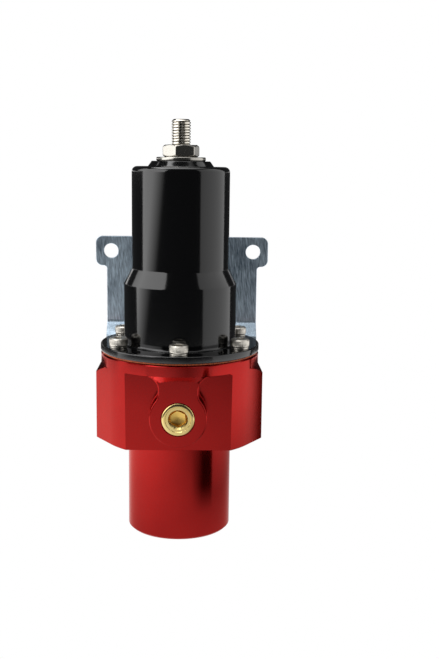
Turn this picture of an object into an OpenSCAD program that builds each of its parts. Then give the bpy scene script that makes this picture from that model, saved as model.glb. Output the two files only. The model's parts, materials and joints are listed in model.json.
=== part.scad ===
// Bypass fuel pressure regulator: red machined body, black spring bonnet, zinc-plated bracket.
// The axis of the regulator is Z, the outlet face stands on Z = 0 and the gauge port faces -Y.

/* [Body] */
// Radius of the round neck around the outlet
neck_r = 17.8; // [17:0.1:22]
// Height of the outlet neck
neck_h = 32.5; // [30:0.5:42]
// Height of the block that carries the ports
block_h = 25.9; // [25:0.1:32]
// Radius of the round band under the bonnet
band_r = 27.1; // [26.5:0.1:30]
// Height of the round band
band_h = 4.1; // [3.2:0.1:7]
// Depth of the gauge flat below the band
gauge_flat_depth = 6.3; // [5:0.1:7]
// Depth of the inlet flats below the band
inlet_flat_depth = 5.3; // [4:0.1:6.5]
// How far the back face stands outside the band
back_land = 0.5; // [0.3:0.1:2]
// Angle from the front at which the side facets leave the band
facet_az = 57; // [50:1:60]
// Angle of the shoulder cone above the side corners, from the axis
shoulder_angle = 34; // [30:1:50]
// Chamfer on the turned edges of the body
body_chamfer = 0.6; // [0.3:0.1:1]

/* [Ports] */
// Radius of the outlet thread's bore
outlet_r = 12.3; // [10:0.1:12.6]
// Depth of the outlet thread
outlet_depth = 20; // [16:0.5:22]
// Radius of the outlet's seal chamfer at the face
outlet_seal_r = 14.1; // [13.2:0.1:14.8]
// Radius of the inlet thread's bore
inlet_r = 8.75; // [7:0.05:9]
// Radius of the inlet's seal chamfer at the face
inlet_seal_r = 10; // [9.4:0.1:10.2]
// Radius of the raised boss around each inlet
inlet_boss_r = 12; // [11:0.1:12]
// Height of the inlet bosses above their flats
inlet_boss_proud = 4.2; // [4:0.1:5]
// Half width of the web that carries a cover screw above each inlet
inlet_web = 5; // [4:0.1:7]
// Height of the inlets above the bottom of the block
inlet_rise = 12; // [12:0.1:12.6]
// Angle of the inlets from the front
inlet_az = 120; // [118:1:122]
// Radius of the raised boss around the gauge port
gauge_boss_r = 9.4; // [8:0.1:11]
// How far the gauge boss stands outside the band
gauge_boss_proud = 0.9; // [0.5:0.1:1.5]
// Half width of the web above the gauge boss
gauge_web = 6.5; // [5:0.1:7.5]
// Height of the gauge port above the bottom of the block
gauge_rise = 12.5; // [11.5:0.1:13]
// Radius of the cutter that leaves the boss corners round
cutter_r = 3.6; // [2:0.1:4.5]
// Radius of the boost reference port's thread bore
boost_r = 4.25; // [3.5:0.05:4.6]
// Radius of the flat around the boost port
boost_spot_r = 6.2; // [5.5:0.1:6.8]
// Angle of the boost port from the front
boost_az = 125; // [122:1:135]

/* [Bonnet] */
// Thickness of the bonnet's bolting flange
flange_t = 2.4; // [2:0.1:4]
// How far the flange stands outside the band
flange_lip = 0.1; // [0:0.1:0.5]
// Radius of the bonnet's lower barrel
barrel_low_r = 19.2; // [18.6:0.1:19.6]
// Height of the lower barrel above the flange
barrel_low_h = 20.4; // [18:0.1:28]
// Radius of the bonnet's upper barrel
barrel_top_r = 16.5; // [15.8:0.1:17.5]
// Height of the cone between the barrels
barrel_cone_h = 5.2; // [3:0.1:8]
// Height of the upper barrel
barrel_top_h = 34; // [30:0.1:45]
// Radius on the top corner of the bonnet
barrel_round = 1.8; // [0.5:0.1:2.4]
// Radius of the raised seat for the adjuster's washer
nut_seat_r = 11.1; // [10.5:0.1:12]
// Height of that seat
nut_seat_h = 1.8; // [1.8:0.1:3]
// Thickness of the bonnet's roof
roof_t = 6.6; // [5:0.1:9]
// Radius of the spring cavity
cavity_r = 13.2; // [13:0.1:13.6]
// Radius of the cavity's mouth above the diaphragm
mouth_r = 16.5; // [15.8:0.1:17]

/* [Diaphragm and valve] */
// Thickness of the diaphragm
diaphragm_t = 0.4; // [0.3:0.1:1]
// Radius of the chamber under the diaphragm
chamber_r = 17; // [16:0.1:18]
// Depth of that chamber
chamber_depth = 4.6; // [3:0.1:6]
// Radius of the fuel gallery around the valve seat
gallery_r = 12.5; // [11.8:0.1:13]
// Height of the gallery floor above the bottom of the block
gallery_rise = 3.2; // [2:0.1:4]
// Thickness of the plates that clamp the diaphragm
plate_t = 1.5; // [1:0.1:2]
// Radius of the lower diaphragm plate
lower_plate_r = 15; // [13:0.1:15.5]
// Radius of the valve stem
stem_r = 2.5; // [2:0.1:3]
// Radius of the head that holds the valve disc
valve_head_r = 8.2; // [7.8:0.1:9]
// Height of that head
valve_head_h = 3.9; // [3.4:0.1:4.2]
// Radius of the valve disc
valve_disc_r = 7.2; // [6.9:0.1:7.3]
// Thickness of the valve disc
valve_disc_t = 2; // [1.6:0.1:2.4]
// How far the disc stands below its head
valve_disc_proud = 0.7; // [0.4:0.1:1]
// Height that the valve can lift
valve_lift = 1.2; // [0.6:0.1:1.5]
// Radius of the bore through the valve seat
seat_bore_r = 5.2; // [4:0.1:5.5]
// Radius of the valve seat's lip
seat_lip_r = 6.2; // [6:0.1:6.6]
// Radius of the valve seat's tube
seat_tube_r = 7.5; // [7.2:0.1:8]
// Radius of the threaded shank of the valve seat
seat_shank_r = 8.5; // [8.3:0.1:9]
// Length of that shank
seat_shank_h = 8; // [6:0.1:9]
// Radius of the valve seat's shoulder
seat_shoulder_r = 10; // [9.6:0.1:10.8]
// Thickness of the valve seat's shoulder
seat_shoulder_t = 2.5; // [2:0.1:3.5]
// Across flats of the diaphragm nut
stem_nut_af = 8; // [7:0.1:9]
// Height of the diaphragm nut
stem_nut_h = 3.3; // [2.5:0.1:4]

/* [Spring and adjuster] */
// Radius of the spring wire
wire_r = 1.4; // [1:0.05:1.5]
// Outer radius of the spring
spring_r = 11.8; // [11.2:0.1:11.9]
// Turns of the spring, closed ends included
spring_turns = 9.5; // [7:0.5:11]
// Thickness of the upper spring seat
spring_seat_t = 2.5; // [2:0.1:4]
// Room above the upper spring seat
spring_seat_room = 3.5; // [3:0.1:5]
// Height of the rim of the lower spring cup
cup_rim_h = 3; // [2:0.1:4]
// Wall of the rim of the lower spring cup
cup_rim_t = 1.8; // [1:0.1:2]
// Radius of the adjusting screw
adjuster_r = 3.175; // [2.5:0.005:3.5]
// Length of the adjusting screw above the jam nut
adjuster_proud = 8.4; // [7.5:0.1:12]
// Across flats of the hex socket in the adjusting screw
adjuster_socket_af = 3.2; // [2.5:0.1:3.5]
// Across flats of the jam nut
jam_nut_af = 11.1; // [10:0.1:13]
// Height of the jam nut
jam_nut_h = 4; // [3:0.1:6]
// Turn of the jam nut as it was tightened
jam_nut_turn = 15; // [0:1:60]
// Radius of the washer under the jam nut
seal_washer_r = 8.3; // [7.5:0.1:9]
// Thickness of that washer
seal_washer_t = 1.3; // [0.8:0.1:2]

/* [Fasteners] */
// Number of cover screws
cover_screw_count = 6; // [6]
// Distance of the cover screws from the edge of the band
cover_screw_inset = 3.7; // [3.5:0.1:3.8]
// Radius of a cover screw's shank
cover_screw_r = 1.7; // [1.5:0.05:1.8]
// Radius of a cover screw's head
cover_head_r = 3.1; // [2.8:0.05:3.2]
// Height of a cover screw's head
cover_head_h = 2.7; // [2.4:0.1:3.5]
// Length of a cover screw under its head
cover_screw_l = 9.5; // [8.5:0.1:9.6]
// Across flats of a cover screw's socket
cover_socket_af = 2.8; // [2.4:0.1:3]
// Radius of a split lock washer
lock_washer_r = 2.9; // [2.7:0.05:3.1]
// Thickness of a split lock washer
lock_washer_t = 0.6; // [0.5:0.05:0.9]
// Radius of the gauge port plug
plug_r = 5.35; // [4.5:0.05:5.5]
// Length of the gauge port plug
plug_l = 8.4; // [7:0.1:10]
// How far the plug stands out of its boss
plug_proud = 0.5; // [0.2:0.1:1]
// Across flats of the plug's hex socket
plug_socket_af = 4.8; // [4:0.1:5]

/* [Bracket] */
// Thickness of the bracket's sheet
sheet_t = 1.9; // [1.5:0.1:2.2]
// Width of the bracket's upright plate
plate_w = 56.4; // [50:0.1:60]
// Width of the bracket across its ears
ear_w = 64.5; // [62:0.1:72]
// Height of the ears
ear_h = 11; // [9:0.1:14]
// Height of the upright plate above its bend
upright_h = 31.5; // [24:0.1:36]
// Distance between the mounting holes
mount_spacing = 53.3; // [50:0.1:54]
// Diameter of the mounting holes
mount_hole_d = 5.5; // [4.5:0.1:6.5]
// Height of the body's top above the start of the bracket's step
step_drop = 2.7; // [1:0.1:4]
// Distance that the bracket steps back behind the body
step_back = 5.45; // [4:0.05:8]
// Inside radius of the bracket's bends
bend_r = 1.5; // [1:0.1:2]
// Width of the tab on the back of the body
tab_w = 22; // [18:0.5:24]
// Radius on the outer corners of the bracket
ear_round = 2.4; // [1:0.1:4]
// Distance between the two screws in the tab
tab_screw_spacing = 12.4; // [11:0.1:13]
// Height of the lower tab screw above the bottom of the block
tab_screw_rise = 6.6; // [6:0.1:7]
// Radius of a tab screw's shank
tab_screw_r = 2.4; // [2:0.1:2.5]
// Radius of a tab screw's button head
tab_head_r = 4.6; // [4:0.1:4.8]
// Height of that head
tab_head_h = 2.6; // [2:0.1:3.2]
// Depth of the tab screws in the body
tab_screw_grip = 8; // [6:0.1:9]
// Thickness of the washer under a tab screw
tab_washer_t = 1; // [0.6:0.1:1.2]

/* [Clearances] */
// Radial clearance of a screw in its hole
thread_gap = 0.05; // [0.02:0.01:0.1]
// Clearance between pieces that move past each other
running_gap = 0.4; // [0.3:0.05:0.6]
// Clearance around the lock washers and screw heads on the bonnet
head_gap = 0.2; // [0.1:0.05:0.4]

/* [Hidden] */
$fn = 96;
eps = 0.01;
cut = 1;
// Depth of a port's seal chamfer for each millimetre of its width
seal_slope = 1.5;
// The band stands this much proud of the block, and the shoulders run this far up onto the band
block_relief = 0.02;
shoulder_lap = 0.2;

// Heights up the axis
block_z = neck_h;
band_z = block_z + block_h;
body_top = band_z + band_h;
bonnet_z = body_top + diaphragm_t;
flange_top = bonnet_z + flange_t;
cone_z = flange_top + barrel_low_h;
barrel_top_z = cone_z + barrel_cone_h;
bonnet_top = barrel_top_z + barrel_top_h;
nut_seat_top = bonnet_top + nut_seat_h;
cavity_top = bonnet_top - roof_t;
jam_nut_z = nut_seat_top + seal_washer_t;
adjuster_top = jam_nut_z + jam_nut_h + adjuster_proud;
spring_seat_top = cavity_top - spring_seat_room;
spring_top = spring_seat_top - spring_seat_t;
spring_bottom = bonnet_z + plate_t;
gallery_z = block_z + gallery_rise;
valve_head_top = body_top - plate_t;
valve_head_z = valve_head_top - valve_head_h;
seat_lip_z = valve_head_z - valve_disc_proud;
inlet_z = block_z + inlet_rise;
gauge_z = block_z + gauge_rise;
boost_z = flange_top + lock_washer_t + cover_head_h + boost_spot_r + cut;

// Distances from the axis
block_r = band_r - block_relief;
gauge_flat_d = band_r - gauge_flat_depth;
gauge_boss_d = band_r + gauge_boss_proud;
inlet_flat_d = band_r - inlet_flat_depth;
inlet_boss_d = inlet_flat_d + inlet_boss_proud;
back_d = band_r + back_land;
flange_r = band_r + flange_lip;
cover_circle_r = band_r - cover_screw_inset;
boost_flat_d = sqrt(pow(barrel_low_r, 2) - pow(boost_spot_r, 2));
spring_mid_r = spring_r - wire_r;
cup_r = spring_r + running_gap + cup_rim_t;

// The bracket's sheet: middle radius of a bend, slope length and rise of its 45 degree step
bend_angle = 45;
bend_mid_r = bend_r + sheet_t / 2;
slope_l = (step_back - 2 * bend_mid_r * (1 - cos(bend_angle))) / sin(bend_angle);
step_rise = 2 * bend_mid_r * sin(bend_angle) + slope_l * cos(bend_angle);
step_z = body_top - step_drop;
upright_z = step_z + step_rise;
bracket_top = upright_z + upright_h;
tab_mid_y = back_d + sheet_t / 2;
upright_mid_y = tab_mid_y + step_back;
tab_screw_z = [block_z + tab_screw_rise, block_z + tab_screw_rise + tab_screw_spacing];

// Colours as the photo shows them
red_anodised = [0.60, 0.12, 0.11];
black_anodised = [0.05, 0.05, 0.06];
zinc_plate = [0.44, 0.48, 0.52];
steel = [0.74, 0.73, 0.70];
brass = [0.80, 0.70, 0.38];
rubber = [0.09, 0.09, 0.09];
cloth_rubber = [0.42, 0.20, 0.12];
spring_steel = [0.45, 0.46, 0.48];

// Direction at an angle from the front, seen from above
function facing(az) = [sin(az), -cos(az)];

// Point where two upright planes meet, each given by its angle from the front and its distance
function meet(az1, d1, az2, d2) =
    let(n1 = facing(az1), n2 = facing(az2), det = n1.x * n2.y - n1.y * n2.x)
    [(d1 * n2.y - d2 * n1.y) / det, (n1.x * d2 - n2.x * d1) / det];

function flipped(p) = [-p.x, p.y];

// Turns a shape that faces -Y to another angle from the front
module at_angle(az) { rotate([0, 0, az]) children(); }

// Stands a flat outline, drawn in X and Z, up against the front and pushes it out towards -Y
module out_front(from_d, to_d) {
    translate([0, -from_d, 0]) rotate([90, 0, 0]) linear_extrude(to_d - from_d) children();
}

// Hole of radius r along -Y, at height z, from one distance to another
module bore_front(r, z, from_d, to_d) {
    translate([0, -from_d, z]) rotate([90, 0, 0]) cylinder(r = r, h = to_d - from_d);
}

// Cone-mouthed hole that an O-ring fitting seals in, with its mouth at z = 0 and going down
module seal_port(r, seal_r, depth) {
    seal_h = (seal_r - r) * seal_slope;
    translate([0, 0, -depth]) cylinder(r = r, h = depth + eps);
    translate([0, 0, -seal_h]) cylinder(r1 = r, r2 = seal_r, h = seal_h);
    translate([0, 0, -eps]) cylinder(r = seal_r, h = cut);
}

module hex_prism(af, h) { cylinder(r = af / 2 / cos(30), h = h, $fn = 6); }

// Hex socket, open at z = 0, going down to a drill point
module hex_socket(af, depth) {
    translate([0, 0, -depth]) hex_prism(af, depth + cut);
    translate([0, 0, -depth - af / 6]) cylinder(r1 = 0, r2 = af / 2, h = af / 6 + eps);
}

module at_cover_screws() {
    for (i = [0 : cover_screw_count - 1])
        rotate([0, 0, i * 360 / cover_screw_count]) translate([0, -cover_circle_r, 0]) children();
}

// Flat ring with its bore, standing on z = 0
module ring(r, bore, t) {
    difference() {
        cylinder(r = r, h = t);
        translate([0, 0, -cut]) cylinder(r = bore, h = t + 2 * cut);
    }
}

module o_ring(mid_r, cord_r, z) {
    translate([0, 0, z]) rotate_extrude() translate([mid_r, 0]) circle(r = cord_r, $fn = 32);
}

// Neck and band of the body, turned from one bar, with both ends chamfered
module turned_core() {
    rotate_extrude() polygon([
        [0, 0],
        [neck_r - body_chamfer, 0],
        [neck_r, body_chamfer],
        [neck_r, band_z],
        [band_r, band_z],
        [band_r, body_top - body_chamfer],
        [band_r - body_chamfer, body_top],
        [0, body_top]]);
}

// Plan of the block: the band's circle, drawn out to a corner at each side and cut by three flats
module block_plan() {
    side = meet(facet_az, block_r, inlet_az, inlet_flat_d);
    rear = meet(inlet_az, inlet_flat_d, 180, back_d);
    tangent = block_r * facing(facet_az);
    module flat_cut(az, d) {
        rotate(az) translate([-2 * band_r, -d - 2 * band_r]) square([4 * band_r, 2 * band_r]);
    }
    difference() {
        union() {
            circle(r = block_r);
            polygon([tangent, side, rear, flipped(rear), flipped(side), flipped(tangent)]);
        }
        flat_cut(0, gauge_flat_d);
        for (s = [-1, 1]) flat_cut(s * inlet_az, inlet_flat_d);
    }
}

// Outline of a raised boss with a web up into the band, its inner corners left round by the cutter
module keyhole(boss_r, web, centre_z) {
    reach = boss_r + cutter_r;
    off_x = web + cutter_r;
    off_z = sqrt(pow(reach, 2) - pow(off_x, 2));
    touch = boss_r / reach * [off_x, off_z];
    translate([0, centre_z]) {
        circle(r = boss_r);
        translate([-web, 0]) square([2 * web, band_z + cut - centre_z]);
        for (s = [-1, 1]) mirror([s < 0 ? 1 : 0, 0]) difference() {
            polygon([[0, 0], touch, [web + cutter_r * (1 - cos(45)), off_z], [web, off_z], [0, off_z]]);
            translate([off_x, off_z]) circle(r = cutter_r);
        }
    }
    for (s = [-1, 1]) mirror([s < 0 ? 1 : 0, 0]) difference() {
        translate([web - eps, band_z - cutter_r]) square([cutter_r, cutter_r + cut]);
        translate([off_x, band_z - cutter_r]) circle(r = cutter_r);
    }
}

// Cone that trims whatever stands outside the band, falling away from just above the band's lower edge
module shoulder_cone(angle_from_axis) {
    slope = tan(angle_from_axis);
    drop = band_r / slope;
    translate([0, 0, band_z + shoulder_lap - drop])
        cylinder(r1 = 2 * band_r, r2 = band_r - cut * slope, h = drop + cut);
}

module body() {
    gauge_shoulder = 45;
    color(red_anodised) difference() {
        union() {
            turned_core();
            intersection() {
                translate([0, 0, block_z]) linear_extrude(block_h + cut) block_plan();
                shoulder_cone(shoulder_angle);
            }
            intersection() {
                out_front(gauge_flat_d - cut, gauge_boss_d) keyhole(gauge_boss_r, gauge_web, gauge_z);
                shoulder_cone(gauge_shoulder);
            }
            for (s = [-1, 1]) at_angle(s * inlet_az) intersection() {
                out_front(inlet_flat_d - cut, inlet_boss_d) keyhole(inlet_boss_r, inlet_web, inlet_z);
                shoulder_cone(gauge_shoulder);
            }
        }
        mirror([0, 0, 1]) seal_port(outlet_r, outlet_seal_r, outlet_depth);
        translate([0, 0, outlet_depth - eps])
            cylinder(r = seat_shank_r + thread_gap, h = gallery_z - outlet_depth + cut);
        translate([0, 0, gallery_z - eps]) cylinder(r = gallery_r, h = body_top - gallery_z);
        translate([0, 0, body_top - chamber_depth]) cylinder(r = chamber_r, h = chamber_depth + cut);
        for (s = [-1, 1]) at_angle(s * inlet_az) translate([0, -inlet_boss_d, inlet_z]) rotate([90, 0, 0])
            seal_port(inlet_r, inlet_seal_r, inlet_boss_d - seat_shoulder_r - running_gap);
        bore_front(plug_r + thread_gap, gauge_z, gauge_boss_d + plug_proud - plug_l, gauge_boss_d + cut);
        bore_front(plug_r / 2, gauge_z, gallery_r - cut, gauge_boss_d);
        at_cover_screws() translate([0, 0, flange_top + lock_washer_t - cover_screw_l - thread_gap * 4])
            cylinder(r = cover_screw_r + thread_gap, h = cover_screw_l);
        for (z = tab_screw_z) at_angle(180)
            bore_front(tab_screw_r + thread_gap, z, back_d - tab_screw_grip - thread_gap * 4, back_d + cut);
    }
}

// Stand-pipe that screws into the outlet bore; the valve disc closes on its lip
module valve_seat() {
    groove_h = 2;
    groove_r = seat_shank_r - 1.5;
    lip_taper = seat_tube_r - seat_lip_r;
    color(brass) difference() {
        rotate_extrude() polygon([
            [seat_bore_r, gallery_z - seat_shank_h],
            [seat_shank_r, gallery_z - seat_shank_h],
            [seat_shank_r, gallery_z],
            [seat_shoulder_r, gallery_z],
            [seat_shoulder_r, gallery_z + seat_shoulder_t],
            [seat_tube_r, gallery_z + seat_shoulder_t],
            [seat_tube_r, seat_lip_z - lip_taper],
            [seat_lip_r, seat_lip_z],
            [seat_bore_r, seat_lip_z]]);
        translate([0, 0, gallery_z - seat_shank_h / 2 - groove_h / 2])
            ring(seat_shank_r + cut, groove_r, groove_h);
    }
}

module seat_o_ring() {
    cord_r = 0.74;
    color(rubber) o_ring(seat_shank_r - cord_r, cord_r, gallery_z - seat_shank_h / 2);
}

// Pipe plug with a rounded outer edge and a hex socket, a corner of the hex pointing down
module gauge_plug() {
    edge_r = 1.1;
    socket_depth = 5;
    face_d = gauge_boss_d + plug_proud;
    color(brass) translate([0, -face_d, gauge_z]) rotate([90, 0, 0]) difference() {
        rotate_extrude() union() {
            translate([0, -plug_l]) square([plug_r, plug_l - edge_r]);
            translate([0, -plug_l]) square([plug_r - edge_r, plug_l]);
            translate([plug_r - edge_r, -edge_r]) circle(r = edge_r);
        }
        rotate([0, 0, 30]) hex_socket(plug_socket_af, socket_depth);
        translate([0, 0, -edge_r])
            cylinder(r1 = plug_socket_af / 2, r2 = plug_socket_af / 2 + edge_r, h = edge_r + eps);
    }
}

module valve_disc() {
    color(rubber) translate([0, 0, seat_lip_z]) cylinder(r = valve_disc_r, h = valve_disc_t);
}

// Valve head with a recess for the disc, and the threaded stem that clamps the diaphragm
module valve_stem() {
    disc_top = seat_lip_z + valve_disc_t;
    stem_top = bonnet_z + plate_t + stem_nut_h + cut;
    color(steel) difference() {
        union() {
            translate([0, 0, valve_head_z]) cylinder(r = valve_head_r, h = valve_head_h);
            translate([0, 0, valve_head_top - eps]) cylinder(r = stem_r, h = stem_top - valve_head_top);
        }
        translate([0, 0, valve_head_z - cut])
            cylinder(r = valve_disc_r + thread_gap, h = disc_top - valve_head_z + cut);
    }
}

module diaphragm_lower_plate() {
    color(steel) translate([0, 0, valve_head_top]) ring(lower_plate_r, stem_r + thread_gap, plate_t);
}

module diaphragm() {
    color(cloth_rubber) difference() {
        translate([0, 0, body_top]) ring(band_r - body_chamfer / 2, stem_r + thread_gap, diaphragm_t);
        at_cover_screws() translate([0, 0, body_top - cut])
            cylinder(r = cover_screw_r + thread_gap, h = diaphragm_t + 2 * cut);
    }
}

// Upper diaphragm plate with a rim that centres the spring
module lower_spring_cup() {
    color(steel) translate([0, 0, bonnet_z]) {
        ring(cup_r, stem_r + thread_gap, plate_t);
        translate([0, 0, plate_t - eps]) ring(cup_r, cup_r - cup_rim_t, cup_rim_h + eps);
    }
}

module diaphragm_nut() {
    color(steel) translate([0, 0, bonnet_z + plate_t]) difference() {
        hex_prism(stem_nut_af, stem_nut_h);
        translate([0, 0, -cut]) cylinder(r = stem_r + thread_gap, h = stem_nut_h + 2 * cut);
    }
}

// Outside of the bonnet from its axis out: flange, lower barrel, cone, upper barrel, washer seat
module bonnet_profile() {
    foot_r = 0.8;
    rim_break = 0.3;
    seat_taper = 1.3;
    polygon([
        [0, bonnet_z],
        [flange_r - rim_break, bonnet_z],
        [flange_r, bonnet_z + rim_break],
        [flange_r, flange_top - rim_break],
        [flange_r - rim_break, flange_top],
        [barrel_low_r, flange_top],
        [barrel_low_r, cone_z],
        [barrel_top_r, barrel_top_z],
        [barrel_top_r, bonnet_top - barrel_round],
        [barrel_top_r - barrel_round, bonnet_top],
        [nut_seat_r, bonnet_top],
        [nut_seat_r - seat_taper, nut_seat_top],
        [0, nut_seat_top]]);
    translate([barrel_top_r - barrel_round, bonnet_top - barrel_round]) circle(r = barrel_round);
    difference() {
        translate([barrel_low_r - eps, flange_top - eps]) square(foot_r + eps);
        translate([barrel_low_r + foot_r, flange_top + foot_r]) circle(r = foot_r);
    }
}

module bonnet() {
    mouth_h = plate_t + cup_rim_h + valve_lift + 2 * running_gap;
    ring_h = nut_seat_h;
    color(black_anodised) difference() {
        rotate_extrude() bonnet_profile();
        translate([0, 0, bonnet_z - cut]) cylinder(r = mouth_r, h = mouth_h + cut);
        translate([0, 0, bonnet_z]) cylinder(r = cavity_r, h = cavity_top - bonnet_z);
        translate([0, 0, cavity_top - cut])
            cylinder(r = adjuster_r + thread_gap, h = roof_t + nut_seat_h + 2 * cut);
        translate([0, 0, nut_seat_top - ring_h]) cylinder(r = adjuster_r + ring_h, h = ring_h + cut);
        at_cover_screws() {
            translate([0, 0, bonnet_z - cut])
                cylinder(r = cover_screw_r + thread_gap, h = flange_t + 2 * cut);
            translate([0, 0, flange_top + eps])
                cylinder(r = max(lock_washer_r, cover_head_r) + head_gap, h = lock_washer_t + cover_head_h + cut);
        }
        at_angle(boost_az) {
            bore_front(boost_r, boost_z, cavity_r - cut, barrel_low_r + cut);
            bore_front(boost_spot_r, boost_z, boost_flat_d, barrel_low_r + cut);
        }
    }
}

// Split lock washers: each ring is cut through on a slant
module lock_washers() {
    split = 0.5;
    slant = 25;
    split_turn = -20;
    color(steel) at_cover_screws() translate([0, 0, flange_top]) rotate([0, 0, split_turn]) difference() {
        ring(lock_washer_r, cover_screw_r + 2 * thread_gap, lock_washer_t);
        translate([lock_washer_r / 2, 0, lock_washer_t / 2]) rotate([slant, 0, 0])
            cube([lock_washer_r + cut, split, 4 * lock_washer_t], center = true);
    }
}

module cover_screws() {
    head_z = flange_top + lock_washer_t;
    edge = 0.4;
    color(steel) at_cover_screws() translate([0, 0, head_z]) difference() {
        union() {
            translate([0, 0, -cover_screw_l]) cylinder(r = cover_screw_r, h = cover_screw_l + eps);
            cylinder(r = cover_head_r, h = cover_head_h - edge);
            translate([0, 0, cover_head_h - edge])
                cylinder(r1 = cover_head_r, r2 = cover_head_r - edge, h = edge);
        }
        translate([0, 0, cover_head_h]) hex_socket(cover_socket_af, cover_head_h / 2);
    }
}

// Compression spring with one closed turn at each end, swept as rings of points along a helix
module main_spring() {
    sides = 10;
    rings_per_turn = 20;
    rings = rings_per_turn * spring_turns;
    coil_gap = 0.15;
    closed_pitch = 2 * wire_r + coil_gap;
    rise = spring_top - spring_bottom - 2 * wire_r;
    pitch = (rise - 2 * closed_pitch) / (spring_turns - 2);
    function wire_z(turn) = spring_bottom + wire_r + (
        turn < 1 ? closed_pitch * turn
        : turn < spring_turns - 1 ? closed_pitch + pitch * (turn - 1)
        : rise - closed_pitch * (spring_turns - turn));
    points = [for (i = [0 : rings]) let(turn = i / rings_per_turn, a = 360 * turn)
        for (k = [0 : sides - 1]) let(b = 360 * k / sides, r = spring_mid_r + wire_r * cos(b))
            [r * cos(a), r * sin(a), wire_z(turn) + wire_r * sin(b)]];
    walls = [for (i = [0 : rings - 1]) for (k = [0 : sides - 1])
        let(p = i * sides, q = p + sides, n = (k + 1) % sides) [p + k, q + k, q + n, p + n]];
    near = [for (k = [0 : sides - 1]) k];
    far = [for (k = [sides - 1 : -1 : 0]) rings * sides + k];
    color(spring_steel) polyhedron(points, concat(walls, [near, far]));
}

// Seat on top of the spring, with a pilot inside the coil and a flat for the adjuster's tip
module upper_spring_seat() {
    pilot_r = spring_mid_r - wire_r - running_gap;
    pilot_h = spring_seat_t;
    color(steel) translate([0, 0, spring_top]) {
        cylinder(r = cavity_r - 2 * running_gap, h = spring_seat_t);
        translate([0, 0, -pilot_h]) cylinder(r1 = pilot_r - pilot_h / 4, r2 = pilot_r, h = pilot_h + eps);
    }
}

module adjusting_screw() {
    lead = 0.6;
    socket_depth = 4;
    shank_h = adjuster_top - spring_seat_top;
    color(steel) translate([0, 0, spring_seat_top]) difference() {
        union() {
            cylinder(r1 = adjuster_r - lead, r2 = adjuster_r, h = lead);
            translate([0, 0, lead]) cylinder(r = adjuster_r, h = shank_h - 2 * lead);
            translate([0, 0, shank_h - lead]) cylinder(r1 = adjuster_r, r2 = adjuster_r - lead, h = lead);
        }
        translate([0, 0, shank_h]) hex_socket(adjuster_socket_af, socket_depth);
    }
}

module stud_o_ring() {
    cord_r = nut_seat_h / 2 - thread_gap;
    color(rubber) o_ring(adjuster_r + thread_gap + cord_r, cord_r, nut_seat_top - nut_seat_h / 2);
}

module seal_washer() {
    color(steel) translate([0, 0, nut_seat_top])
        ring(seal_washer_r, adjuster_r + thread_gap, seal_washer_t);
}

// Hex nut with both faces turned to a 30 degree cone
module jam_nut() {
    face_inset = 0.17;
    face_r = jam_nut_af / 2 - face_inset;
    color(steel) translate([0, 0, jam_nut_z]) difference() {
        intersection() {
            rotate([0, 0, jam_nut_turn]) hex_prism(jam_nut_af, jam_nut_h);
            cylinder(r1 = face_r, r2 = face_r + jam_nut_h / tan(30), h = jam_nut_h);
            cylinder(r1 = face_r + jam_nut_h / tan(30), r2 = face_r, h = jam_nut_h);
        }
        translate([0, 0, -cut]) cylinder(r = adjuster_r + thread_gap, h = jam_nut_h + 2 * cut);
    }
}

// Front view of the flat bracket: tab, wide plate and two ears with round corners
module bracket_outline() {
    foot_clear = 1.5;
    tab_foot = block_z + foot_clear;
    step_foot = step_z - cut;
    inner_round = 1.3;
    module rounded(w, z0, z1, r) {
        translate([-w / 2 + r, z0]) square([w - 2 * r, z1 - z0]);
        translate([-w / 2, z0 + r]) square([w, z1 - z0 - 2 * r]);
        for (x = [-1, 1], z = [z0 + r, z1 - r]) translate([x * (w / 2 - r), z]) circle(r = r);
    }
    rounded(tab_w, tab_foot, bracket_top - cut, ear_round);
    rounded(plate_w, step_foot, bracket_top - cut, ear_round);
    rounded(ear_w, bracket_top - ear_h, bracket_top, ear_round);
    for (s = [-1, 1]) {
        mirror([s < 0 ? 1 : 0, 0]) difference() {
            translate([plate_w / 2 - eps, bracket_top - ear_h - inner_round])
                square([inner_round + eps, inner_round + eps]);
            translate([plate_w / 2 + inner_round, bracket_top - ear_h - inner_round])
                circle(r = inner_round);
        }
        mirror([s < 0 ? 1 : 0, 0]) difference() {
            translate([tab_w / 2 - eps, step_foot - ear_round]) square(ear_round + eps);
            translate([tab_w / 2 + ear_round, step_foot - ear_round]) circle(r = ear_round);
        }
    }
}

// Side view of the folded sheet, drawn in Y and Z: tab, bend, slope, bend, upright plate
module bracket_profile() {
    half = sheet_t / 2;
    module bend() {
        intersection() {
            difference() {
                circle(r = bend_mid_r + half);
                circle(r = bend_mid_r - half);
            }
            polygon([[0, 0], [-4 * bend_mid_r, 0], [-4 * bend_mid_r, 4 * bend_mid_r * tan(bend_angle)]]);
        }
    }
    translate([tab_mid_y - half, 0]) square([sheet_t, step_z + eps]);
    translate([tab_mid_y + bend_mid_r, step_z]) bend();
    translate([tab_mid_y + step_back / 2, step_z + step_rise / 2]) rotate(-bend_angle)
        square([sheet_t, slope_l + 2 * eps], center = true);
    translate([upright_mid_y - bend_mid_r, upright_z]) rotate(180) bend();
    translate([upright_mid_y - half, upright_z - eps]) square([sheet_t, bracket_top - upright_z + cut]);
}

module bracket() {
    mount_z = bracket_top - ear_h / 2;
    color(zinc_plate) difference() {
        intersection() {
            at_angle(180) out_front(back_d - cut, upright_mid_y + sheet_t) bracket_outline();
            rotate([90, 0, 90]) linear_extrude(ear_w + 2 * cut, center = true) bracket_profile();
        }
        for (x = [-1, 1]) translate([x * mount_spacing / 2, 0, 0]) at_angle(180)
            bore_front(mount_hole_d / 2, mount_z, back_d, upright_mid_y + sheet_t);
        for (z = tab_screw_z) at_angle(180)
            bore_front(tab_screw_r + thread_gap, z, back_d - cut, back_d + sheet_t + cut);
    }
}

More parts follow.
